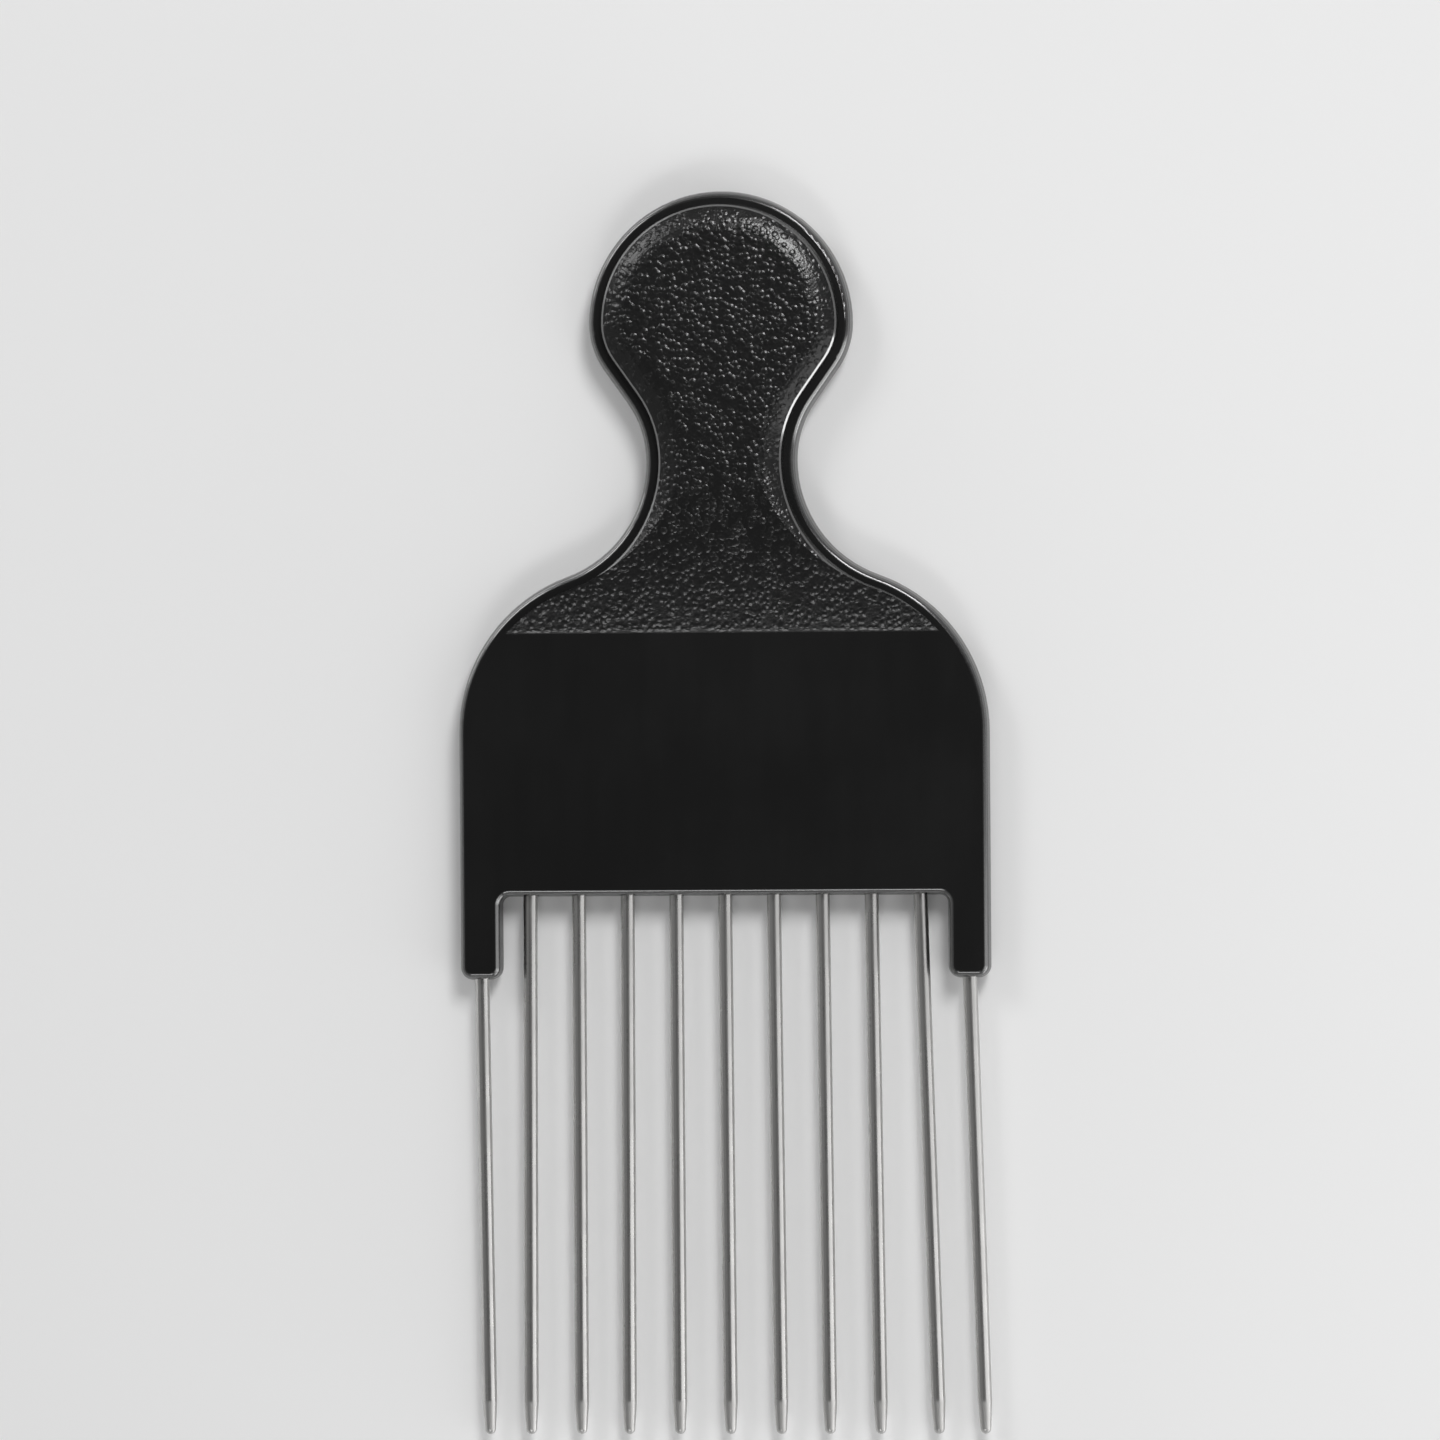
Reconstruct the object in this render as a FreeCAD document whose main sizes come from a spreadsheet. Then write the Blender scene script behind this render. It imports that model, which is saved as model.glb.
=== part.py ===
import FreeCAD, Part
import math
import os

import Sketcher

# Afro pick: a moulded handle in two shells that close round eleven steel tines.
# It lies on its back: +Z is the front of the grip, +Y the knob, -Y the tips of the tines.
# Inside the handle's own bodies y = 0 is the bar's lower edge and z = 0 is the seam.

# Lengths in millimetres, angles in degrees. A share is a part of what its comment names.
SIZES = {
    # Outline of the handle at the seam between the shells
    "handle_width": 74.4,
    "knob_radius": 18.5,
    "knob_to_root": 80.0,
    "knob_to_neck": 19.2,
    "neck_width": 21.2,
    "neck_to_shoulder": 37.9,
    # Of the two bends between knob and neck: both together, and the upper one's part of them
    "knob_bend_share": 0.923,
    "cheek_share": 0.437,
    # Of the two bends between neck and shoulder: the upper one's part
    "flare_share": 0.423,
    # Posts at the ends of the bar
    "post_drop": 11.6,
    "post_width": 6.0,
    "post_corner": 1.7,
    "root_fillet": 1.1,
    # Depths of the shells either side of the seam
    "back_depth": 3.0,
    "bar_depth": 2.9,
    "wall_draft": 7.0,
    "front_edge_radius": 0.8,
    "back_edge_radius": 1.0,
    "seam_bevel": 0.15,
    # Raised grip on the front shell, which ramps down to the bar's face
    "grip_inset": 1.55,
    "rim_height": 4.45,
    "grip_draft": 10.0,
    "rim_bevel": 0.25,
    "crown_rise": 1.0,
    "crown_run": 3.6,
    "ramp_length": 24.0,
    # Hollow inside the grip and its ribs
    "core_wall": 3.6,
    "front_core_depth": 3.4,
    "back_core_depth": 1.3,
    "boss_radius": 3.2,
    "cell_width": 11.0,
    "cell_length": 7.0,
    "cell_rib": 1.8,
    # Pegs that line the shells up
    "peg_radius": 1.5,
    "peg_height": 1.6,
    "peg_spread": 44.0,
    "peg_above_root": 21.0,
    "peg_side_gap": 0.08,
    "peg_end_gap": 0.3,
    # Tines: reach below the bar's edge, root inside the bar
    "tine_radius": 1.0,
    "tine_reach": 75.4,
    "tine_root": 13.0,
    "tine_taper": 4.6,
    "tine_tip_radius": 0.75,
    "tine_root_bevel": 0.3,
    "groove_from_end": 3.0,
    "groove_length": 1.6,
    "groove_depth": 0.35,
    "seat_gap": 0.03,
    # How far a cutter runs past what it cuts
    "overrun": 1.0,
}
COUNTS = {"tine_count": 11, "cell_count": 2, "crown_steps": 5}

# Sideways lean of the tines in degrees, from left to right. Positive is towards +X.
TINE_LEAN_ANGLES = (0.6, -0.3, -0.1, -0.2, 0.0, 0.2, 0.4, 0.4, 0.6, 1.6, 1.6)

# Places and sizes that follow from the sheet, written once as expressions.
ROOT_Y = "((Sizes.tine_reach - Sizes.knob_radius - Sizes.knob_to_root) / 2)"
NECK_Y = "(Sizes.knob_to_root - Sizes.knob_to_neck)"
SHOULDER_Y = f"({NECK_Y} - Sizes.neck_to_shoulder)"
KNOB_STEP = "(Sizes.knob_radius - Sizes.neck_width / 2)"
SHOULDER_STEP = "((Sizes.handle_width - Sizes.neck_width) / 2)"
KNOB_BENDS = (
    f"(Sizes.knob_bend_share * ({KNOB_STEP} ^ 2 + Sizes.knob_to_neck ^ 2) / (2 * {KNOB_STEP}))"
)
SHOULDER_BENDS = f"(({SHOULDER_STEP} ^ 2 + Sizes.neck_to_shoulder ^ 2) / (2 * {SHOULDER_STEP}))"
CHEEK = f"(Sizes.cheek_share * {KNOB_BENDS})"
NECK = f"({KNOB_BENDS} - {CHEEK})"
FLARE = f"(Sizes.flare_share * {SHOULDER_BENDS})"
INNER_POST_X = "(Sizes.handle_width / 2 - Sizes.post_width)"
TINE_PITCH = "((Sizes.handle_width - Sizes.post_width) / (Sizes.tine_count - 1))"
GRIP_SINK = "(Sizes.bar_depth / 2)"
GRIP_END_Y = f"({SHOULDER_Y} / 2)"
RIM_INSET = f"(Sizes.grip_inset + (Sizes.rim_height - {GRIP_SINK}) * tan(Sizes.grip_draft))"
GRIP_TOP = "(Sizes.rim_height + Sizes.rim_bevel + Sizes.crown_rise)"
CROWN_RADIUS = "((Sizes.crown_run ^ 2 + Sizes.crown_rise ^ 2) / (2 * Sizes.crown_rise))"
CROWN_TURN = f"asin(Sizes.crown_run / {CROWN_RADIUS})"
RAMP_DROP = f"({GRIP_TOP} - Sizes.bar_depth)"
RAMP_RADIUS = f"((Sizes.ramp_length ^ 2 + {RAMP_DROP} ^ 2) / (2 * {RAMP_DROP}))"
CORE_RADIUS = "(Sizes.knob_radius - Sizes.core_wall)"
CORE_DEPTH = "(Sizes.front_core_depth + Sizes.back_core_depth)"

TOLERANCE = 1e-4
# The sketcher's own numbers for the points of a line or arc, and for the two axes
START, END, CENTRE = range(1, 4)
Y_AXIS, X_AXIS = range(-2, 0)
ORIGIN = (X_AXIS, START)

doc = FreeCAD.newDocument("afro_pick")


def fill_sheet():
    sheet = doc.addObject("Spreadsheet::Sheet", "Sizes")
    for line, (alias, number) in enumerate({**SIZES, **COUNTS}.items(), start=1):
        sheet.set(f"A{line}", alias)
        sheet.set(f"B{line}", str(number))
        sheet.setAlias(f"B{line}", alias)
    doc.recompute()
    return sheet


def value(expression):
    return float(sheet.evalExpression(expression))


def point(x, y):
    return FreeCAD.Vector(x, y, 0)


def toward(angle):
    """Unit direction at an angle in degrees from +X."""
    return point(math.cos(math.radians(angle)), math.sin(math.radians(angle)))


def arc(centre, radius, start, end):
    """Arc between two directions in degrees, turning anticlockwise."""
    circle = Part.Circle(centre, FreeCAD.Vector(0, 0, 1), radius)
    return Part.ArcOfCircle(circle, math.radians(start), math.radians(end))


def new_body(name):
    """A body of the handle, whose own origin is on the bar's lower edge and the seam."""
    body = doc.addObject("PartDesign::Body", name)
    body.setExpression("Placement.Base.y", ROOT_Y)
    body.setExpression("Placement.Base.z", "Sizes.back_depth")
    return body


def new_sketch(body, name, role="XY_Plane", height="0"):
    planes = {feature.Role: feature for feature in body.Origin.OriginFeatures}
    sketch = body.newObject("Sketcher::SketchObject", name)
    sketch.AttachmentSupport = [(planes[role], "")]
    sketch.MapMode = "FlatFace"
    sketch.setExpression("AttachmentOffset.Base.z", height)
    return sketch


def bind(sketch, kind, places, expression):
    """A driving dimension of the sketch that follows the sheet."""
    index = sketch.addConstraint(Sketcher.Constraint(kind, *places, value(expression)))
    sketch.setExpression(f"Constraints[{index}]", expression)


def tie(sketch, kind, *places):
    """A constraint with no number."""
    sketch.addConstraint(Sketcher.Constraint(kind, *places))


def bind_place(sketch, place, x, y):
    """Hold one point of the sketch at a place given by two expressions."""
    for kind, axis, expression in (("DistanceX", Y_AXIS, x), ("DistanceY", X_AXIS, y)):
        if abs(value(expression)) < TOLERANCE:
            tie(sketch, "PointOnObject", *place, axis)
        elif value(expression) > 0:
            bind(sketch, kind, (*ORIGIN, *place), expression)
        else:
            bind(sketch, kind, (*place, *ORIGIN), f"0 - ({expression})")


def draw_closed(sketch, corners):
    """Straight-sided closed outline through corners given as pairs of expressions."""
    places = [point(value(x), value(y)) for x, y in corners]
    last = len(places) - 1
    for number, place in enumerate(places):
        following = places[0] if number == last else places[number + 1]
        sketch.addGeometry(Part.LineSegment(place, following), False)
    for number, (x, y) in enumerate(corners):
        tie(sketch, "Coincident", number, START, (number - 1) % len(places), END)
        bind_place(sketch, (number, START), x, y)


def pad(body, name, profile, length, draft=None, down=False):
    feature = body.newObject("PartDesign::Pad", name)
    feature.Profile = profile
    feature.setExpression("Length", length)
    feature.Reversed = down
    if draft:
        feature.setExpression("TaperAngle", f"0 - {draft}")
    doc.recompute()
    return feature


def edges_at(feature, height):
    """Names of the feature's edges that lie flat at one height of its body."""
    names = []
    for number, edge in enumerate(feature.Shape.Edges, start=1):
        box = edge.BoundBox
        if max(abs(box.ZMin - height), abs(box.ZMax - height)) < TOLERANCE:
            names.append(f"Edge{number}")
    return names


def round_edges(body, name, feature, height, radius):
    fillet = body.newObject("PartDesign::Fillet", name)
    fillet.Base = (feature, edges_at(feature, value(height)))
    fillet.setExpression("Radius", radius)
    doc.recompute()
    return fillet


def bevel_edges(body, name, feature, height, size):
    chamfer = body.newObject("PartDesign::Chamfer", name)
    chamfer.Base = (feature, edges_at(feature, value(height)))
    chamfer.setExpression("Size", size)
    doc.recompute()
    return chamfer


def upper_half(inset):
    """Right half of the outline from the knob's widest point to the end of the shoulder.

    Each piece is tangent to the next, and all are moved inwards by the inset. An arc ends with the
    one of its two ends that comes first on the way down.
    """
    knob, cheek, neck, flare = map(value, ("Sizes.knob_radius", CHEEK, NECK, FLARE))
    neck_x, side_x = value("Sizes.neck_width / 2"), value("Sizes.handle_width / 2")
    neck_y, shoulder_y = value(NECK_Y), value(SHOULDER_Y)
    shoulder = value(SHOULDER_BENDS) - flare
    cheek_centre = point(knob - cheek, value("Sizes.knob_to_root"))
    neck_centre = point(neck_x + neck, neck_y)
    apart = neck_centre - cheek_centre
    flank = math.degrees(math.atan2(-apart.y, apart.x) - math.acos((cheek + neck) / apart.Length))
    flare_end = point(neck_x + flare, neck_y) - point(side_x - shoulder, shoulder_y)
    turn = math.degrees(math.atan2(flare_end.y, flare_end.x))
    return {
        "cheek": ("arc", cheek_centre, cheek - inset, -flank, 0, END),
        "flank": (
            "line",
            cheek_centre + toward(-flank) * (cheek - inset),
            neck_centre - toward(-flank) * (neck + inset),
        ),
        "neck": ("arc", neck_centre, neck + inset, 180 - flank, 180, START),
        "flare": ("arc", point(neck_x + flare, neck_y), flare + inset, 180, 180 + turn, START),
        "shoulder": ("arc", point(side_x - shoulder, shoulder_y), shoulder - inset, 0, turn, END),
    }


def post_half():
    """Right half of the outline below the shoulder: side, post and the fillet to the bar."""
    side_x, inner_x = value("Sizes.handle_width / 2"), value(INNER_POST_X)
    corner, fillet = value("Sizes.post_corner"), value("Sizes.root_fillet")
    foot_y = value("0 - Sizes.post_drop")
    corner_y = foot_y + corner
    return {
        "side": ("line", point(side_x, value(SHOULDER_Y)), point(side_x, corner_y)),
        "outer_corner": ("arc", point(side_x - corner, corner_y), corner, -90, 0, END),
        "foot": ("line", point(side_x - corner, foot_y), point(inner_x + corner, foot_y)),
        "inner_corner": ("arc", point(inner_x + corner, corner_y), corner, 180, 270, END),
        "inside": ("line", point(inner_x, corner_y), point(inner_x, -fillet)),
        "root": ("arc", point(inner_x - fillet, -fillet), fillet, 0, 90, START),
    }


def mirrored(piece):
    """The same piece on the left of the handle's middle."""
    if piece[0] == "line":
        return ("line", *(point(-end.x, end.y) for end in piece[1:]))
    kind, centre, radius, start, end, first = piece
    return kind, point(-centre.x, centre.y), radius, 180 - end, 180 - start, START + END - first


def draw_piece(sketch, piece):
    """Add a line or an arc, and give its index, its upper end and its lower end."""
    if piece[0] == "line":
        return sketch.addGeometry(Part.LineSegment(*piece[1:]), False), START, END
    index = sketch.addGeometry(arc(*piece[1:5]), False)
    return index, piece[5], START + END - piece[5]


def draw_outline(sketch, half, inset, smooth_end):
    """Closed outline: knob arc, right half, lowest line and the left half that mirrors the right.

    Gives the index of each piece of the right half, of the knob arc and of the lowest line.
    """
    centre = point(0, value("Sizes.knob_to_root"))
    knob = sketch.addGeometry(arc(centre, value("Sizes.knob_radius") - value(inset), 0, 180), False)
    right = {name: draw_piece(sketch, piece) for name, piece in half.items()}
    left = {name: draw_piece(sketch, mirrored(piece)) for name, piece in half.items()}
    index, _, lower = list(right.values())[-1]
    end = sketch.getPoint(index, lower)
    lowest = sketch.addGeometry(Part.LineSegment(end, point(-end.x, end.y)), False)

    chain = [(knob, START, START), *right.values(), (lowest, START, END)]
    for number, (above, below) in enumerate(zip(chain, chain[1:]), start=2):
        smooth = smooth_end or number < len(chain)
        tie(sketch, "Tangent" if smooth else "Coincident", above[0], above[2], *below[:2])
    chain = [(knob, END, END), *left.values(), (lowest, END, START)]
    for above, below in zip(chain, chain[1:]):
        tie(sketch, "Coincident", above[0], above[2], *below[:2])
    for name, piece in list(left.items())[1:]:
        tie(sketch, "Symmetric", *piece[:2], *right[name][:2], Y_AXIS)
    for name, piece in left.items():
        if half[name][0] == "arc":
            tie(sketch, "Equal", piece[0], right[name][0])
    tie(sketch, "Symmetric", lowest, START, lowest, END, Y_AXIS)
    return {"knob": knob, "lowest": lowest, **{name: piece[0] for name, piece in right.items()}}


def bind_upper_half(sketch, at, inset):
    """Dimensions of the knob, cheek, flank, neck, flare and shoulder."""
    tie(sketch, "PointOnObject", at["knob"], CENTRE, Y_AXIS)
    tie(sketch, "Horizontal", at["knob"], CENTRE, at["knob"], END)
    tie(sketch, "Horizontal", at["knob"], CENTRE, at["cheek"], CENTRE)
    tie(sketch, "Horizontal", at["neck"], CENTRE, at["neck"], END)
    tie(sketch, "Vertical", at["side"])
    bind(sketch, "DistanceY", (*ORIGIN, at["knob"], CENTRE), "Sizes.knob_to_root")
    bind(sketch, "Radius", (at["knob"],), f"Sizes.knob_radius - {inset}")
    bind(sketch, "Radius", (at["cheek"],), f"{CHEEK} - {inset}")
    bind(sketch, "Radius", (at["neck"],), f"{NECK} + {inset}")
    bind(sketch, "Radius", (at["flare"],), f"{FLARE} + {inset}")
    bind(sketch, "DistanceY", (*ORIGIN, at["neck"], CENTRE), NECK_Y)
    bind(sketch, "DistanceX", (*ORIGIN, at["neck"], END), f"Sizes.neck_width / 2 - {inset}")
    bind(sketch, "DistanceX", (*ORIGIN, at["side"], START), f"Sizes.handle_width / 2 - {inset}")
    bind(sketch, "DistanceY", (*ORIGIN, at["side"], START), SHOULDER_Y)


def draw_handle(body):
    """The handle's full outline at the seam."""
    sketch = new_sketch(body, f"{body.Name}_outline")
    at = draw_outline(sketch, {**upper_half(0), **post_half()}, "0", smooth_end=True)
    bind_upper_half(sketch, at, "0")
    tie(sketch, "Horizontal", at["foot"])
    tie(sketch, "Vertical", at["inside"])
    tie(sketch, "Equal", at["outer_corner"], at["inner_corner"])
    tie(sketch, "PointOnObject", at["lowest"], START, X_AXIS)
    bind(sketch, "DistanceY", (at["foot"], START, *ORIGIN), "Sizes.post_drop")
    bind(sketch, "DistanceX", (*ORIGIN, at["inside"], START), INNER_POST_X)
    bind(sketch, "Radius", (at["outer_corner"],), "Sizes.post_corner")
    bind(sketch, "Radius", (at["root"],), "Sizes.root_fillet")
    return sketch


def draw_grip(body, name, inset_by, height):
    """The grip's outline, inside the handle's, closed across the bar below the ramp's end."""
    sketch = new_sketch(body, name, height=height)
    inset = value(inset_by)
    side_x = value("Sizes.handle_width / 2") - inset
    end_y = value(GRIP_END_Y) + inset
    side = {"side": ("line", point(side_x, value(SHOULDER_Y)), point(side_x, end_y))}
    half = {**upper_half(inset), **side}
    at = draw_outline(sketch, half, inset_by, smooth_end=False)
    bind_upper_half(sketch, at, inset_by)
    bind(sketch, "DistanceY", (*ORIGIN, at["side"], END), f"{GRIP_END_Y} + {inset_by}")
    return sketch


def crown_section(step):
    """Inset and height of one section of the rounded shoulder, from the rim to the top."""
    turn = f"({CROWN_TURN} * (1 - {step} / Sizes.crown_steps))"
    run = f"(Sizes.rim_bevel + Sizes.crown_run - {CROWN_RADIUS} * sin({turn}))"
    return f"({RIM_INSET} + {run})", f"({GRIP_TOP} - {CROWN_RADIUS} * (1 - cos({turn})))"


def build_back_body():
    body = new_body("back_body")
    block = pad(body, "back_block", draw_handle(body), "Sizes.back_depth", "Sizes.wall_draft", True)
    rounded = round_edges(body, "back_edge", block, "0 - Sizes.back_depth", "Sizes.back_edge_radius")
    bevel_edges(body, "back_seam", rounded, "0", "Sizes.seam_bevel")
    return body


def build_bar_body():
    body = new_body("bar_body")
    block = pad(body, "bar_block", draw_handle(body), "Sizes.bar_depth", "Sizes.wall_draft")
    rounded = round_edges(body, "bar_edge", block, "Sizes.bar_depth", "Sizes.front_edge_radius")
    bevel_edges(body, "bar_seam", rounded, "0", "Sizes.seam_bevel")
    return body


def build_grip_body():
    """Drafted wall up to the rim, a bevelled rim, a rounded shoulder and the ramp cut."""
    body = new_body("grip_body")
    foot = draw_grip(body, "grip_foot", "Sizes.grip_inset", GRIP_SINK)
    pad(body, "grip_wall", foot, f"Sizes.rim_height - {GRIP_SINK}", "Sizes.grip_draft")
    shoulder = body.newObject("PartDesign::AdditiveLoft", "grip_shoulder")
    shoulder.Profile = draw_grip(body, "grip_rim", RIM_INSET, "Sizes.rim_height")
    shoulder.Sections = [
        draw_grip(body, f"grip_shoulder_{step + 1}", *crown_section(step))
        for step in range(COUNTS["crown_steps"] + 1)
    ]
    shoulder.Ruled = True

    cutter = new_sketch(body, "ramp_profile", "YZ_Plane")
    radius, top_z, high_y = value(RAMP_RADIUS), value(GRIP_TOP), value(NECK_Y)
    low_y = value(f"{GRIP_END_Y} - Sizes.overrun")
    above_z = value(f"{GRIP_TOP} + Sizes.overrun")
    reach = math.degrees(math.asin((high_y - low_y) / radius))
    cutter.addGeometry(arc(point(high_y, top_z - radius), radius, 90, 90 + reach), False)
    low_z = cutter.getPoint(0, END).y
    cutter.addGeometry(Part.LineSegment(point(low_y, low_z), point(low_y, above_z)), False)
    cutter.addGeometry(Part.LineSegment(point(low_y, above_z), point(high_y, above_z)), False)
    cutter.addGeometry(Part.LineSegment(point(high_y, above_z), point(high_y, top_z)), False)
    for line, following in ((0, 1), (1, 2), (2, 3)):
        tie(cutter, "Coincident", line, END, following, START)
    tie(cutter, "Coincident", 3, END, 0, START)
    tie(cutter, "Vertical", 1)
    tie(cutter, "Horizontal", 2)
    tie(cutter, "Vertical", 3)
    tie(cutter, "Vertical", 0, CENTRE, 0, START)
    bind(cutter, "Radius", (0,), RAMP_RADIUS)
    bind(cutter, "DistanceX", (*ORIGIN, 0, START), NECK_Y)
    bind(cutter, "DistanceY", (*ORIGIN, 0, START), GRIP_TOP)
    bind(cutter, "DistanceY", (3, END, 3, START), "Sizes.overrun")
    bind(cutter, "DistanceX", (*ORIGIN, 1, START), f"{GRIP_END_Y} - Sizes.overrun")
    ramp = body.newObject("PartDesign::Pocket", "ramp")
    ramp.Profile = cutter
    ramp.setExpression("Length", "Sizes.handle_width")
    ramp.Midplane = True
    return body


def build_core():
    """Space inside the grip: a ring in the knob round a boss, and cells between ribs below it."""
    body = new_body("core")
    ring = new_sketch(body, "core_ring", height="0 - Sizes.back_core_depth")
    centre = point(0, value("Sizes.knob_to_root"))
    for number, radius in enumerate((CORE_RADIUS, "Sizes.boss_radius")):
        circle = Part.Circle(centre, FreeCAD.Vector(0, 0, 1), value(radius))
        ring.addGeometry(circle, False)
        bind(ring, "Radius", (number,), radius)
        bind_place(ring, (number, CENTRE), "0", "Sizes.knob_to_root")
    pad(body, "core_ring_block", ring, CORE_DEPTH)

    cell = new_sketch(body, "core_cell", height="0 - Sizes.back_core_depth")
    top = f"(Sizes.knob_to_root - {CORE_RADIUS} - Sizes.cell_rib)"
    bottom = f"({top} - Sizes.cell_length)"
    left, right = "(0 - Sizes.cell_width / 2)", "(Sizes.cell_width / 2)"
    draw_closed(cell, ((left, top), (left, bottom), (right, bottom), (right, top)))
    cell_block = pad(body, "core_cell_block", cell, CORE_DEPTH)
    cells = body.newObject("PartDesign::LinearPattern", "core_cells")
    cells.Originals = [cell_block]
    cells.Direction = (cell, ["V_Axis"])
    cells.Reversed = True
    cells.setExpression("Length", "(Sizes.cell_count - 1) * (Sizes.cell_length + Sizes.cell_rib)")
    cells.setExpression("Occurrences", "Sizes.cell_count")
    body.Tip = cells
    return body


def build_pegs(name, side_gap, end_gap):
    """Three pegs on the seam, or with gaps the sockets that they go into."""
    places = (
        ("0", "Sizes.knob_to_root"),
        ("0 - Sizes.peg_spread / 2", "Sizes.peg_above_root"),
        ("Sizes.peg_spread / 2", "Sizes.peg_above_root"),
    )
    pegs = []
    for number, (x, y) in enumerate(places, start=1):
        peg = doc.addObject("Part::Cylinder", f"{name}_{number}")
        peg.setExpression("Radius", f"Sizes.peg_radius + {side_gap}")
        peg.setExpression("Height", f"Sizes.overrun + Sizes.peg_height + {end_gap}")
        peg.setExpression("Placement.Base.x", x)
        peg.setExpression("Placement.Base.y", f"{ROOT_Y} + {y}")
        peg.setExpression("Placement.Base.z", "Sizes.back_depth - Sizes.overrun")
        pegs.append(peg)
    return pegs


def build_pin(name, number, gap):
    """One tine along its own Y axis, or with a gap the seat that the shells hold it in.

    Its y = 0 is on the bar's lower edge. It leans about the place where it leaves the handle, which
    is the foot of the post for the outer two.
    """
    body = doc.addObject("PartDesign::Body", name)
    sketch = new_sketch(body, f"{name}_profile")
    radius = f"(Sizes.tine_radius + {gap})"
    waist = f"({radius} - Sizes.groove_depth)"
    root_end = f"(Sizes.tine_root + {gap})"
    upper = f"(Sizes.tine_root - Sizes.groove_from_end - {gap})"
    lower = f"(Sizes.tine_root - Sizes.groove_from_end - Sizes.groove_length + {gap})"
    corners = (
        ("0", root_end),
        (f"{radius} - Sizes.tine_root_bevel", root_end),
        (radius, f"({root_end} - Sizes.tine_root_bevel)"),
        (radius, upper),
        (waist, upper),
        (waist, lower),
        (radius, lower),
        (radius, "(Sizes.tine_taper - Sizes.tine_reach)"),
    )
    places = [point(value(x), value(y)) for x, y in corners]
    tip_radius = value("Sizes.tine_tip_radius")
    tip_centre = point(0, tip_radius - value("Sizes.tine_reach"))
    taper = places[-1] - tip_centre
    touch = math.degrees(math.atan2(taper.y, taper.x) - math.acos(tip_radius / taper.Length))
    places.append(tip_centre + toward(touch) * tip_radius)
    for start, end in zip(places, places[1:]):
        sketch.addGeometry(Part.LineSegment(start, end), False)
    tip = sketch.addGeometry(arc(tip_centre, tip_radius, -90, touch), False)
    axis = sketch.addGeometry(Part.LineSegment(sketch.getPoint(tip, START), places[0]), False)
    for line in range(tip - 1):
        tie(sketch, "Coincident", line, END, line + 1, START)
    for line, (x, y) in enumerate(corners):
        bind_place(sketch, (line, START), x, y)
    tie(sketch, "Tangent", tip - 1, END, tip, END)
    tie(sketch, "PointOnObject", tip, CENTRE, Y_AXIS)
    bind(sketch, "Radius", (tip,), "Sizes.tine_tip_radius")
    bind_place(sketch, (tip, START), "0", "0 - Sizes.tine_reach")
    tie(sketch, "Coincident", tip, START, axis, START)
    tie(sketch, "Coincident", axis, END, 0, START)
    turned = body.newObject("PartDesign::Revolution", f"{name}_turned")
    turned.Profile = sketch
    turned.ReferenceAxis = (sketch, ["V_Axis"])
    turned.Angle = 360

    lean = TINE_LEAN_ANGLES[number % len(TINE_LEAN_ANGLES)]
    outer = number in (0, COUNTS["tine_count"] - 1)
    pivot = "Sizes.post_drop" if outer else "0"
    middle = "(Sizes.tine_count - 1) / 2"
    body.Placement.Rotation = FreeCAD.Rotation(FreeCAD.Vector(0, 0, 1), lean)
    body.setExpression(
        "Placement.Base.x", f"({number} - {middle}) * {TINE_PITCH} - {pivot} * sin({lean})"
    )
    body.setExpression("Placement.Base.y", f"{ROOT_Y} - {pivot} * (1 - cos({lean}))")
    body.setExpression("Placement.Base.z", "Sizes.back_depth")
    return body


def joined(name, pieces):
    whole = doc.addObject("Part::MultiFuse", name)
    whole.Shapes = pieces
    return whole


def hollowed(name, body, spaces):
    tools = doc.addObject("Part::Compound", f"{name}_spaces")
    tools.Links = spaces
    node = doc.addObject("Part::Cut", name)
    node.Base = body
    node.Tool = tools
    return node


def check_and_write(nodes):
    doc.recompute()
    for made in doc.Objects:
        if "Invalid" in made.State or "Error" in made.State:
            raise RuntimeError(f"{made.Label} is {made.State}")
    for node in nodes:
        shape = node.Shape
        if shape.isNull() or not shape.isValid() or len(shape.Solids) != 1:
            raise RuntimeError(f"{node.Label} is not one valid solid")
    os.makedirs("parts", exist_ok=True)
    for node in nodes:
        node.Shape.exportStep(f"parts/{node.Label}.step")


sheet = fill_sheet()
seats = [
    build_pin(f"seat_{number + 1:02d}", number, "Sizes.seat_gap")
    for number in range(COUNTS["tine_count"])
]
tines = [
    build_pin(f"tine_{number + 1:02d}", number, "0") for number in range(COUNTS["tine_count"])
]
core = build_core()
sockets = build_pegs("socket", "Sizes.peg_side_gap", "Sizes.peg_end_gap")
pegs = build_pegs("peg", "0", "0")
front = hollowed(
    "front_shell",
    joined("front_block", [build_bar_body(), build_grip_body()]),
    [core, *sockets, *seats],
)
back = joined("back_block_with_pegs", [build_back_body(), *pegs])
check_and_write([front, hollowed("back_shell", back, [core, *seats]), *tines])
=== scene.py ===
import math

import bpy
from bpy.props import FloatProperty, FloatVectorProperty, PointerProperty
from mathutils import Matrix, Vector


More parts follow.
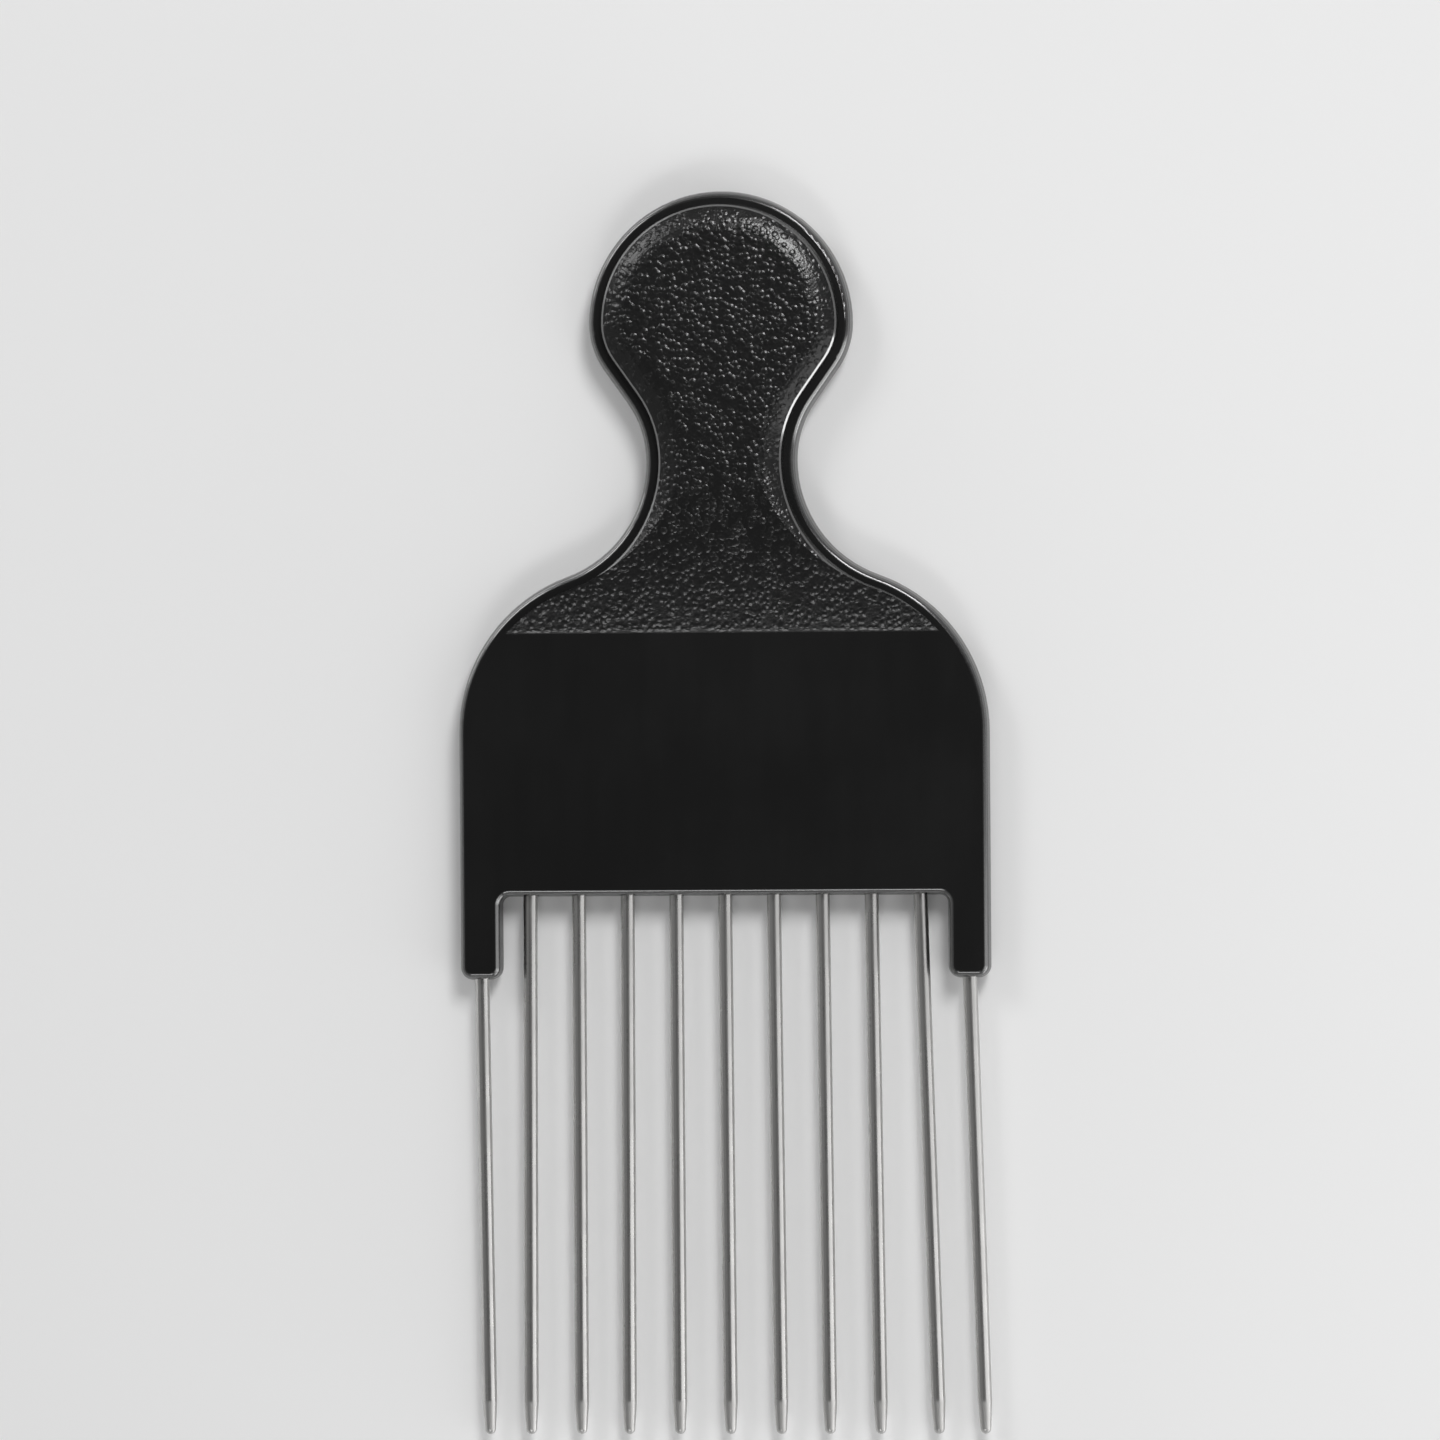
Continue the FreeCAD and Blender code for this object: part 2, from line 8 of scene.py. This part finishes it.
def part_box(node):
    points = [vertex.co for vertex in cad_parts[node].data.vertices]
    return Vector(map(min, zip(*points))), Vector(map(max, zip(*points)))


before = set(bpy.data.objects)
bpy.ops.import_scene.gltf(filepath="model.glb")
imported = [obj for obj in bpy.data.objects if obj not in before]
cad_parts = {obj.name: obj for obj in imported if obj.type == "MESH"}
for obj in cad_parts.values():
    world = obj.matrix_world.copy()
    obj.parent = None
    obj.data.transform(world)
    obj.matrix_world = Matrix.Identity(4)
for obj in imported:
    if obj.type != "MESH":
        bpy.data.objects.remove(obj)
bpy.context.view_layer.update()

bl_info = {
    "name": "Afro Pick Finish",
    "version": (1, 0, 0),
    "blender": (4, 5, 0),
    "location": "View3D > Sidebar > Afro Pick",
    "description": "Dresses the pick's moulded handle and steel tines and sets up its studio",
    "category": "Object",
}

MM = 0.001
SHELLS = ("front_shell", "back_shell")
TINES = tuple(sorted(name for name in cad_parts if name.startswith("tine_")))

# Places on the pick
BAR_THICKNESS = 2.9 * MM  # of the front shell, from the seam to the face of the bar
GRIP_START = (0.02 * MM, 0.15 * MM)  # above the bar, where bar turns to grip
GRAIN_FACING = (0.72, 0.8)  # upward part of a normal, where walls turn to grained face
GROUND_TIP = (4.4 * MM, 5.0 * MM)  # from a tine's end, where its ground point runs out

# Pebble grain; scales are in shares of one pebble's
PEBBLE_BLEND = 0.25  # how softly one pebble runs into the next
PEBBLE_FALL = -2.6  # how steeply a pebble drops away from its middle
SWELL_SCALE = 0.42
SWELL_RANGE = (0.26, 0.58)  # of the noise that lets whole patches of pebbles sink
PIT_SCALE = 2.6
PIT_SHARE = 0.34  # of a pebble's height
PAINTED_HIGHLIGHT_RANGE = (0.3, 0.85)  # of height, where a pebble's top gets a painted highlight: its colour is made lighter there
# How much lighter the painted highlight makes a pebble's top
PAINTED_HIGHLIGHT_LIGHTNESS = 1.5

# Moulded plastic; scales are per metre
MOULD_SCALE = 5200.0
MOULD_BUMP = (0.004 * MM, 0.6)  # height and strength
MOULD_HAZE_SCALE = 55.0
FLOW_SCALE = (420.0, 60.0, 420.0)
FLOW_SHARE = 0.35
MOULD_HAZE_RANGE = (0.45, 0.95)
MOULD_HAZE_ROUGHNESS = (-0.015, 0.03)  # added where haze is none and full
PLASTIC_IOR = 1.59

# Levelled, polished edges
EDGE_STEEPEST = (0.38, 0.48)  # upward part of a normal, where the wall turns to edge
EDGE_SOFTNESS = 0.06
EDGE_RISE = 1.0  # upward part of the levelled normal, where its outward part is 1
RIM_RISE = 0.09  # what the grip's rim adds to that
EDGE_REACH = 0.92  # upward part of the gentlest normal that is levelled
RIM_REACH = -0.12  # what the grip's rim adds to that
EDGE_COAT_IOR = 2.0
EDGE_COAT_ROUGHNESS = 0.12

# Polished steel; scales are per metre
LINE_STRETCH = (1.0, 0.012, 1.0)
LINE_BUMP = (0.0002 * MM, 0.6)  # height and strength
LINE_SHARE = 0.5
STEEL_HAZE_SCALE = 160.0
STEEL_HAZE_RANGE = (0.5, 1.05)
STEEL_HAZE_ROUGHNESS = 0.03  # taken off where haze is none, added where it is full
STEEL_HAZE_DARKNESS = 0.86
RING_SCALE = (60.0, 9000.0, 60.0)
RING_BUMP = (0.004 * MM, 0.8)
RING_ROUGHNESS = 0.12

# Studio
FLOOR_SIZE = 6.0
FLOOR_DROP = -0.02 * MM  # keeps the floor clear of the back it carries
FLOOR_ROUGHNESS = 0.8
SENSOR_WIDTH = 36.0
VIEW_MIDDLE = (-0.0004, 0.01304, 0.005)
HORIZON_BAND = (0.05, 0.35)  # height in the sky, from 0 at the horizon to 1 overhead
HORIZON_STRENGTH = 0.6
ZENITH_BAND = (0.85, 0.97)
SKY_STRENGTH = 0.28
ZENITH_STRENGTH = 0.09


# Name, azimuth and polar angle in degrees, distance, width and height in metres, brightness
# with 1 as white, and the place on Y that the lamp is aimed at
SOFTBOXES = (
    ("key", 60.0, 32.0, 0.9, 0.22, 0.34, 14.5, 0.07),
    ("fill_left", 140.0, 47.0, 0.9, 0.3, 0.28, 4.8, 0.07),
    ("fill_low", -93.0, 43.0, 0.9, 0.32, 0.2, 5.2, 0.05),
    ("panel_right", 0.0, 58.0, 0.45, 0.28, 0.56, 1.15, -0.16),
    ("strip_right", -37.0, 85.0, 1.8, 1.62, 0.2, 5.2, 0.06),
    ("strip_left", 142.0, 85.0, 1.8, 1.6, 0.2, 6.0, 0.07),
)


# Settings that a user would change


class PickPlasticSettings(bpy.types.PropertyGroup):
    colour: FloatVectorProperty(
        name="Plastic colour",
        description="Colour of the moulded handle",
        subtype="COLOR",
        size=3,
        min=0.0,
        max=1.0,
        default=(0.0045, 0.0045, 0.0045),
    )
    smooth_roughness: FloatProperty(
        name="Smooth roughness",
        description="Roughness of the bar, the posts and the side walls",
        subtype="FACTOR",
        min=0.0,
        max=1.0,
        default=0.24,
    )
    grain_roughness: FloatProperty(
        name="Grain roughness",
        description="Roughness of the grip's pebble grain",
        subtype="FACTOR",
        min=0.0,
        max=1.0,
        default=0.25,
    )
    grain_size: FloatProperty(
        name="Grain size",
        description="Distance from one pebble of the grain to the next",
        unit="LENGTH",
        default=0.82 * MM,
    )
    grain_height: FloatProperty(
        name="Grain height",
        description="How far the pebbles stand up",
        unit="LENGTH",
        default=0.085 * MM,
    )


class PickSteelSettings(bpy.types.PropertyGroup):
    colour: FloatVectorProperty(
        name="Steel colour",
        description="Colour of the polished tines",
        subtype="COLOR",
        size=3,
        min=0.0,
        max=1.0,
        default=(0.57, 0.565, 0.555),
    )
    roughness: FloatProperty(
        name="Steel roughness",
        description="Roughness of the polished tines",
        subtype="FACTOR",
        min=0.0,
        max=1.0,
        default=0.29,
    )
    line_pitch: FloatProperty(
        name="Polishing line pitch",
        description="Distance between the polishing lines that run along a tine",
        unit="LENGTH",
        default=0.09 * MM,
    )


class PickStageSettings(bpy.types.PropertyGroup):
    floor_colour: FloatVectorProperty(
        name="Floor colour",
        description="Colour of the floor under the pick",
        subtype="COLOR",
        size=3,
        min=0.0,
        max=1.0,
        default=(0.92, 0.92, 0.92),
    )
    distance: FloatProperty(
        name="Camera distance",
        description="From the camera to the middle of its view",
        unit="LENGTH",
        default=1.1,
    )
    view_width: FloatProperty(
        name="View width",
        description="Width of the view at the pick",
        unit="LENGTH",
        default=0.2011,
    )
    tilt_right: FloatProperty(
        name="Tilt to the right",
        description="How far the camera stands to the right of straight above",
        unit="ROTATION",
        default=math.radians(4.0),
    )
    tilt_knob: FloatProperty(
        name="Tilt to the knob",
        description="How far the camera stands towards the knob from straight above",
        unit="ROTATION",
        default=math.radians(0.5),
    )
    roll: FloatProperty(
        name="Roll",
        description="Turn of the pick in the picture",
        unit="ROTATION",
        default=math.radians(0.43),
    )


class PickSettings(bpy.types.PropertyGroup):
    plastic: PointerProperty(type=PickPlasticSettings)
    steel: PointerProperty(type=PickSteelSettings)
    stage: PointerProperty(type=PickStageSettings)


def settings():
    return bpy.context.scene.afro_pick


# Node building


def add_node(tree, kind, place, **values):
    node = tree.nodes.new(kind)
    node.location = place
    for key, content in values.items():
        setattr(node, key, content)
    return node


def link(tree, out_socket, in_socket):
    tree.links.new(out_socket, in_socket)


def feed(tree, socket, source):
    """Give a socket a number, or a link from another node's output."""
    if isinstance(source, bpy.types.NodeSocket):
        link(tree, source, socket)
    else:
        socket.default_value = source


def maths(tree, operation, place, *sources, clamp=False):
    node = add_node(tree, "ShaderNodeMath", place, operation=operation, use_clamp=clamp)
    for socket, source in zip(node.inputs, sources):
        feed(tree, socket, source)
    return node.outputs[0]


def vector_maths(tree, operation, place, *sources):
    node = add_node(tree, "ShaderNodeVectorMath", place, operation=operation)
    for socket, source in zip(node.inputs, sources):
        feed(tree, socket, source)
    return node.outputs[0]


def split(tree, place, vector):
    """The X, Y and Z of a vector, by name."""
    node = add_node(tree, "ShaderNodeSeparateXYZ", place)
    link(tree, vector, node.inputs[0])
    return node.outputs


def ramp(tree, place, source, low, high, out_low=0.0, out_high=1.0, smooth=True):
    """Map a value from one range to another, held at the ends."""
    node = add_node(tree, "ShaderNodeMapRange", place, clamp=True)
    node.interpolation_type = "SMOOTHSTEP" if smooth else "LINEAR"
    for socket, number in zip(node.inputs, (source, low, high, out_low, out_high)):
        feed(tree, socket, number)
    return node.outputs["Result"]


def blend_values(tree, place, factor, low, high):
    """Low where the factor is 0, high where it is 1."""
    return ramp(tree, place, factor, 0.0, 1.0, low, high, smooth=False)


def mix(tree, kind, place, factor, first, second):
    """The first value or colour where the factor is 0, the second where it is 1."""
    node = add_node(tree, "ShaderNodeMix", place, data_type=kind)
    link(tree, factor, node.inputs["Factor"])
    feed(tree, node.inputs["A"], first)
    feed(tree, node.inputs["B"], second)
    return node.outputs["Result"]


def noise(tree, place, vector, scale, detail):
    node = add_node(tree, "ShaderNodeTexNoise", place)
    feed(tree, node.inputs["Vector"], vector)
    feed(tree, node.inputs["Scale"], scale)
    node.inputs["Detail"].default_value = detail
    return node.outputs["Fac"]


def bump(tree, place, height, distance, strength, normal=None):
    node = add_node(tree, "ShaderNodeBump", place)
    feed(tree, node.inputs["Height"], height)
    node.inputs["Distance"].default_value = distance
    node.inputs["Strength"].default_value = strength
    if normal is not None:
        link(tree, normal, node.inputs["Normal"])
    return node.outputs["Normal"]


def opaque(colour, lightness=1.0):
    """A colour as its socket takes it, made lighter or darker."""
    return (*(lightness * part for part in colour), 1.0)


def new_group(name, inputs, outputs):
    """A shader node group with named inputs and outputs."""
    group = bpy.data.node_groups.new(name, "ShaderNodeTree")
    for label, kind, default in inputs:
        socket = group.interface.new_socket(name=label, in_out="INPUT", socket_type=kind)
        if default is not None:
            socket.default_value = default
    for label, kind in outputs:
        group.interface.new_socket(name=label, in_out="OUTPUT", socket_type=kind)
    entry = add_node(group, "NodeGroupInput", (-1200, 0))
    leave = add_node(group, "NodeGroupOutput", (1200, 0))
    return group, entry.outputs, leave.inputs


def place_group(tree, group, place, **sources):
    node = add_node(tree, "ShaderNodeGroup", place, node_tree=group)
    for label, source in sources.items():
        feed(tree, node.inputs[label], source)
    return node.outputs


def build_pebble_group():
    """Rounded pebbles of uneven height, as moulded from an etched tool."""
    group, entry, leave = new_group(
        "PebbleGrain",
        (("Vector", "NodeSocketVector", None), ("Size", "NodeSocketFloat", 0.4 * MM)),
        (("Height", "NodeSocketFloat"), ("Painted Highlight", "NodeSocketFloat")),
    )
    scale = maths(group, "DIVIDE", (-1000, -200), 1.0, entry["Size"])
    cells = add_node(group, "ShaderNodeTexVoronoi", (-760, 120), feature="SMOOTH_F1")
    feed(group, cells.inputs["Vector"], entry["Vector"])
    feed(group, cells.inputs["Scale"], scale)
    cells.inputs["Smoothness"].default_value = PEBBLE_BLEND
    distance = cells.outputs["Distance"]
    square = maths(group, "MULTIPLY", (-580, 120), distance, distance)
    pebble = maths(group, "MULTIPLY_ADD", (-400, 120), square, PEBBLE_FALL, 1.0, clamp=True)
    coarse = maths(group, "MULTIPLY", (-760, -200), scale, SWELL_SCALE)
    uneven = noise(group, (-520, -200), entry["Vector"], coarse, detail=3.0)
    swell = ramp(group, (-280, -200), uneven, *SWELL_RANGE)
    large = maths(group, "MULTIPLY", (-200, 60), pebble, swell)
    small = maths(group, "MULTIPLY", (-760, -420), scale, PIT_SCALE)
    pits = noise(group, (-520, -420), entry["Vector"], small, detail=2.0)
    height = maths(group, "MULTIPLY_ADD", (-40, 60), pits, PIT_SHARE, large)
    link(group, height, leave["Height"])
    # Mask for the painted highlight on the pebble tops
    link(group, ramp(group, (200, -120), large, *PAINTED_HIGHLIGHT_RANGE), leave["Painted Highlight"])
    return group


def build_mould_group():
    """Very fine texture and soft flow marks of a moulded plastic surface."""
    group, entry, leave = new_group(
        "MouldedSurface",
        (("Vector", "NodeSocketVector", None),),
        (("Height", "NodeSocketFloat"), ("Haze", "NodeSocketFloat")),
    )
    fine = noise(group, (-760, 120), entry["Vector"], MOULD_SCALE, detail=3.0)
    link(group, fine, leave["Height"])
    wide = noise(group, (-760, -160), entry["Vector"], MOULD_HAZE_SCALE, detail=4.0)
    flow = vector_maths(group, "MULTIPLY", (-1000, -420), entry["Vector"], FLOW_SCALE)
    streak = noise(group, (-760, -420), flow, 1.0, detail=2.0)
    mixed = maths(group, "MULTIPLY_ADD", (-400, -260), streak, FLOW_SHARE, wide)
    link(group, ramp(group, (-160, -260), mixed, *MOULD_HAZE_RANGE), leave["Haze"])
    return group


def build_edge_group():
    """Normals that level the narrow front edges and the grip's rim, so that they shine as lines."""
    group, entry, leave = new_group(
        "LevelledEdges",
        (("Rise", "NodeSocketFloat", 1.0), ("Reach", "NodeSocketFloat", 0.8)),
        (("Normal", "NodeSocketVector"), ("Edge", "NodeSocketFloat")),
    )
    normal = add_node(group, "ShaderNodeNewGeometry", (-1200, 200)).outputs["Normal"]
    upward = split(group, (-980, -260), normal)["Z"]
    steep = ramp(group, (-740, -160), upward, *EDGE_STEEPEST)
    limit = maths(group, "ADD", (-980, -460), entry["Reach"], EDGE_SOFTNESS)
    gentle = ramp(group, (-740, -400), upward, entry["Reach"], limit, 1.0, 0.0)
    edge = maths(group, "MULTIPLY", (-500, -260), steep, gentle)

    level = vector_maths(group, "MULTIPLY", (-980, 60), normal, (1.0, 1.0, 0.0))
    outwards = vector_maths(group, "NORMALIZE", (-780, 60), level)
    rise = add_node(group, "ShaderNodeCombineXYZ", (-780, -60))
    link(group, entry["Rise"], rise.inputs["Z"])
    turned = vector_maths(group, "ADD", (-560, 60), outwards, rise.outputs[0])
    unit = vector_maths(group, "NORMALIZE", (-360, 60), turned)
    blended = mix(group, "VECTOR", (-100, 100), edge, normal, unit)
    link(group, vector_maths(group, "NORMALIZE", (120, 100), blended), leave["Normal"])
    link(group, edge, leave["Edge"])
    return group


def build_polish_group():
    """Polishing lines and hazy patches along a drawn steel pin."""
    group, entry, leave = new_group(
        "PolishLines",
        (("Vector", "NodeSocketVector", None), ("Pitch", "NodeSocketFloat", 0.1 * MM)),
        (("Height", "NodeSocketFloat"), ("Haze", "NodeSocketFloat")),
    )
    along = vector_maths(group, "MULTIPLY", (-1000, 120), entry["Vector"], LINE_STRETCH)
    scale = maths(group, "DIVIDE", (-1000, -120), 1.0, entry["Pitch"])
    lines = noise(group, (-760, 120), along, scale, detail=2.0)
    link(group, lines, leave["Height"])
    patches = noise(group, (-760, -160), entry["Vector"], STEEL_HAZE_SCALE, detail=3.0)
    mixed = maths(group, "MULTIPLY_ADD", (-400, -60), lines, LINE_SHARE, patches)
    link(group, ramp(group, (-160, -60), mixed, *STEEL_HAZE_RANGE), leave["Haze"])
    return group


def new_material(name):
    material = bpy.data.materials.new(name)
    material.use_nodes = True
    tree = material.node_tree
    shader = tree.nodes["Principled BSDF"]
    shader.location = (900, 0)
    tree.nodes["Material Output"].location = (1250, 0)
    place = add_node(tree, "ShaderNodeTexCoord", (-1200, 0))
    return material, tree, shader, place.outputs["Object"]


def dress(names, material):
    """Give CAD nodes a finish in place of their plain one."""
    for name in names:
        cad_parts[name].material_slots[0].material = material


class AFROPICK_OT_handle(bpy.types.Operator):
    """Give both shells black moulded plastic, with pebble grain on the front of the grip"""

    bl_idname = "afro_pick.handle"
    bl_label = "Finish the handle"

    def execute(self, context):
        plastic = settings().plastic
        material, tree, shader, place = new_material("black_moulded_plastic")

        # The grain covers what faces forward and stands above the bar.
        shape = add_node(tree, "ShaderNodeNewGeometry", (-1200, -520))
        upward = split(tree, (-980, -520), shape.outputs["True Normal"])["Z"]
        facing = ramp(tree, (-700, -520), upward, *GRAIN_FACING)
        bar_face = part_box("front_shell")[0].z + BAR_THICKNESS
        start, full = (bar_face + step for step in GRIP_START)
        raised = ramp(tree, (-700, -320), split(tree, (-980, -320), place)["Z"], start, full)
        grained = maths(tree, "MULTIPLY", (-460, -420), facing, raised)

        pebbles = place_group(
            tree, build_pebble_group(), (-700, 200), Vector=place, Size=plastic.grain_size
        )
        moulded = place_group(tree, build_mould_group(), (-700, -60), Vector=place)
        rise = maths(tree, "MULTIPLY_ADD", (-200, -420), raised, RIM_RISE, EDGE_RISE)
        reach = maths(tree, "MULTIPLY_ADD", (-200, -600), raised, RIM_REACH, EDGE_REACH)
        edges = place_group(tree, build_edge_group(), (0, -420), Rise=rise, Reach=reach)

        height = maths(tree, "MULTIPLY", (-200, 200), pebbles["Height"], grained)
        fine = bump(tree, (300, -260), moulded["Height"], *MOULD_BUMP, normal=edges["Normal"])
        normal = bump(tree, (560, -260), height, plastic.grain_height, 1.0, normal=fine)
        link(tree, normal, shader.inputs["Normal"])

        low, high = (plastic.smooth_roughness + step for step in MOULD_HAZE_ROUGHNESS)
        smooth = blend_values(tree, (-200, -60), moulded["Haze"], low, high)
        roughness = mix(tree, "FLOAT", (300, 60), grained, smooth, plastic.grain_roughness)
        link(tree, roughness, shader.inputs["Roughness"])

        # Painted highlight: the tops of the pebbles get a lighter colour that stands in for glints.
        painted_highlight = maths(tree, "MULTIPLY", (60, 320), pebbles["Painted Highlight"], grained)
        dark, highlight_colour = opaque(plastic.colour), opaque(plastic.colour, PAINTED_HIGHLIGHT_LIGHTNESS)
        colour = mix(tree, "RGBA", (300, 320), painted_highlight, dark, highlight_colour)
        link(tree, colour, shader.inputs["Base Color"])

        shader.inputs["IOR"].default_value = PLASTIC_IOR
        link(tree, edges["Edge"], shader.inputs["Coat Weight"])
        shader.inputs["Coat IOR"].default_value = EDGE_COAT_IOR
        shader.inputs["Coat Roughness"].default_value = EDGE_COAT_ROUGHNESS
        dress(SHELLS, material)
        return {"FINISHED"}


class AFROPICK_OT_tines(bpy.types.Operator):
    """Give every tine polished steel with fine lines along it and a ground tip"""

    bl_idname = "afro_pick.tines"
    bl_label = "Finish the tines"

    def execute(self, context):
        steel = settings().steel
        material, tree, shader, place = new_material("polished_steel")
        lines = place_group(
            tree, build_polish_group(), (-700, 100), Vector=place, Pitch=steel.line_pitch
        )

        # The tip is ground across, so it has rings and is duller.
        along = split(tree, (-980, -320), place)["Y"]
        tip, shaft_start = (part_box(TINES[0])[0].y + step for step in GROUND_TIP)
        ground = ramp(tree, (-700, -320), along, tip, shaft_start, 1.0, 0.0)
        rings = vector_maths(tree, "MULTIPLY", (-980, -560), place, RING_SCALE)
        ring_height = noise(tree, (-700, -560), rings, 1.0, detail=1.0)
        tip_height = maths(tree, "MULTIPLY", (-400, -460), ring_height, ground)

        polish = bump(tree, (100, -200), lines["Height"], *LINE_BUMP)
        normal = bump(tree, (360, -300), tip_height, *RING_BUMP, normal=polish)
        link(tree, normal, shader.inputs["Normal"])

        low = steel.roughness - STEEL_HAZE_ROUGHNESS
        high = steel.roughness + STEEL_HAZE_ROUGHNESS
        shaft = blend_values(tree, (-200, 60), lines["Haze"], low, high)
        roughness = maths(tree, "MULTIPLY_ADD", (200, 60), ground, RING_ROUGHNESS, shaft)
        link(tree, roughness, shader.inputs["Roughness"])

        bright, hazy = opaque(steel.colour), opaque(steel.colour, STEEL_HAZE_DARKNESS)
        colour = mix(tree, "RGBA", (300, 320), lines["Haze"], bright, hazy)
        link(tree, colour, shader.inputs["Base Color"])
        shader.inputs["Metallic"].default_value = 1.0
        dress(TINES, material)
        return {"FINISHED"}


def point_at(thing, place, target, up):
    """Put a lamp or the camera at a place so that it looks at the target."""
    back = (place - target).normalized()
    right = up.cross(back).normalized()
    above = back.cross(right)
    turned = Matrix((right, above, back)).transposed().to_4x4()
    thing.matrix_world = Matrix.Translation(place) @ turned


def direction(azimuth, polar):
    """Unit vector; azimuth turns from +X to +Y and polar is the angle from straight up."""
    flat = math.sin(polar)
    return Vector((flat * math.cos(azimuth), flat * math.sin(azimuth), math.cos(polar)))


def add_to_scene(name, data):
    thing = bpy.data.objects.new(name, data)
    bpy.context.scene.collection.objects.link(thing)
    return thing


class AFROPICK_OT_stage(bpy.types.Operator):
    """Lay out the floor, the softboxes, the world and the camera"""

    bl_idname = "afro_pick.stage"
    bl_label = "Set up the studio"

    def add_floor(self, stage):
        bpy.ops.object.select_all(action="DESELECT")
        bpy.ops.mesh.primitive_plane_add(size=FLOOR_SIZE, location=(0, 0, FLOOR_DROP))
        floor = bpy.context.object
        floor.name = "studio_floor"
        bpy.ops.object.transform_apply()
        material = bpy.data.materials.new("pale_floor")
        material.use_nodes = True
        shader = material.node_tree.nodes["Principled BSDF"]
        shader.inputs["Base Color"].default_value = opaque(stage.floor_colour)
        shader.inputs["Roughness"].default_value = FLOOR_ROUGHNESS
        shader.inputs["Specular IOR Level"].default_value = 0.0
        floor.data.materials.append(material)

    def add_world(self):
        world = bpy.data.worlds.new("studio_world")
        bpy.context.scene.world = world
        world.use_nodes = True
        tree = world.node_tree
        tree.nodes.clear()
        place = add_node(tree, "ShaderNodeTexCoord", (-800, 0))
        height = split(tree, (-600, 0), place.outputs["Generated"])["Z"]
        horizon = ramp(tree, (-400, 0), height, *HORIZON_BAND, HORIZON_STRENGTH, 0.0)
        sky = ramp(tree, (-400, -260), height, *ZENITH_BAND, SKY_STRENGTH, ZENITH_STRENGTH)
        back = add_node(tree, "ShaderNodeBackground", (-100, 0))
        link(tree, maths(tree, "ADD", (-250, -100), horizon, sky), back.inputs["Strength"])
        leave = add_node(tree, "ShaderNodeOutputWorld", (150, 0))
        link(tree, back.outputs[0], leave.inputs[0])

    def add_softboxes(self):
        for name, azimuth, polar, distance, width, height, brightness, aim in SOFTBOXES:
            lamp = bpy.data.lights.new(name, "AREA")
            lamp.shape = "RECTANGLE"
            lamp.size = width
            lamp.size_y = height
            lamp.energy = math.pi * width * height * brightness
            thing = add_to_scene(name, lamp)
            thing.visible_camera = False
            target = Vector((0, aim, 0))
            towards = direction(math.radians(azimuth), math.radians(polar))
            point_at(thing, target + distance * towards, target, Vector((0, 0, 1)))

    def add_camera(self, stage):
        data = bpy.data.cameras.new("camera")
        thing = add_to_scene("camera", data)
        bpy.context.scene.camera = thing
        up = Vector((math.sin(stage.roll), math.cos(stage.roll), 0))
        back = Vector((math.tan(stage.tilt_right), math.tan(stage.tilt_knob), 1)).normalized()
        target = Vector(VIEW_MIDDLE)
        point_at(thing, target + stage.distance * back, target, up)
        data.sensor_width = SENSOR_WIDTH
        data.lens = data.sensor_width * stage.distance / stage.view_width

    def execute(self, context):
        stage = settings().stage
        self.add_floor(stage)
        self.add_world()
        self.add_softboxes()
        self.add_camera(stage)
        return {"FINISHED"}


class AFROPICK_PT_panel(bpy.types.Panel):
    bl_label = "Afro Pick"
    bl_idname = "AFROPICK_PT_panel"
    bl_space_type = "VIEW_3D"
    bl_region_type = "UI"
    bl_category = "Afro Pick"

    def draw(self, context):
        pick = settings()
        for group, operator in (
            (pick.plastic, AFROPICK_OT_handle),
            (pick.steel, AFROPICK_OT_tines),
            (pick.stage, AFROPICK_OT_stage),
        ):
            box = self.layout.box()
            for name in group.__annotations__:
                box.prop(group, name)
            box.operator(operator.bl_idname)


CLASSES = (
    PickPlasticSettings,
    PickSteelSettings,
    PickStageSettings,
    PickSettings,
    AFROPICK_OT_handle,
    AFROPICK_OT_tines,
    AFROPICK_OT_stage,
    AFROPICK_PT_panel,
)


def register():
    for cls in CLASSES:
        bpy.utils.register_class(cls)
    bpy.types.Scene.afro_pick = PointerProperty(type=PickSettings)


def unregister():
    del bpy.types.Scene.afro_pick
    for cls in reversed(CLASSES):
        bpy.utils.unregister_class(cls)


def main():
    register()
    bpy.context.scene.view_settings.view_transform = "Standard"
    bpy.ops.afro_pick.handle()
    bpy.ops.afro_pick.tines()
    bpy.ops.afro_pick.stage()


if __name__ == "__main__":
    main()
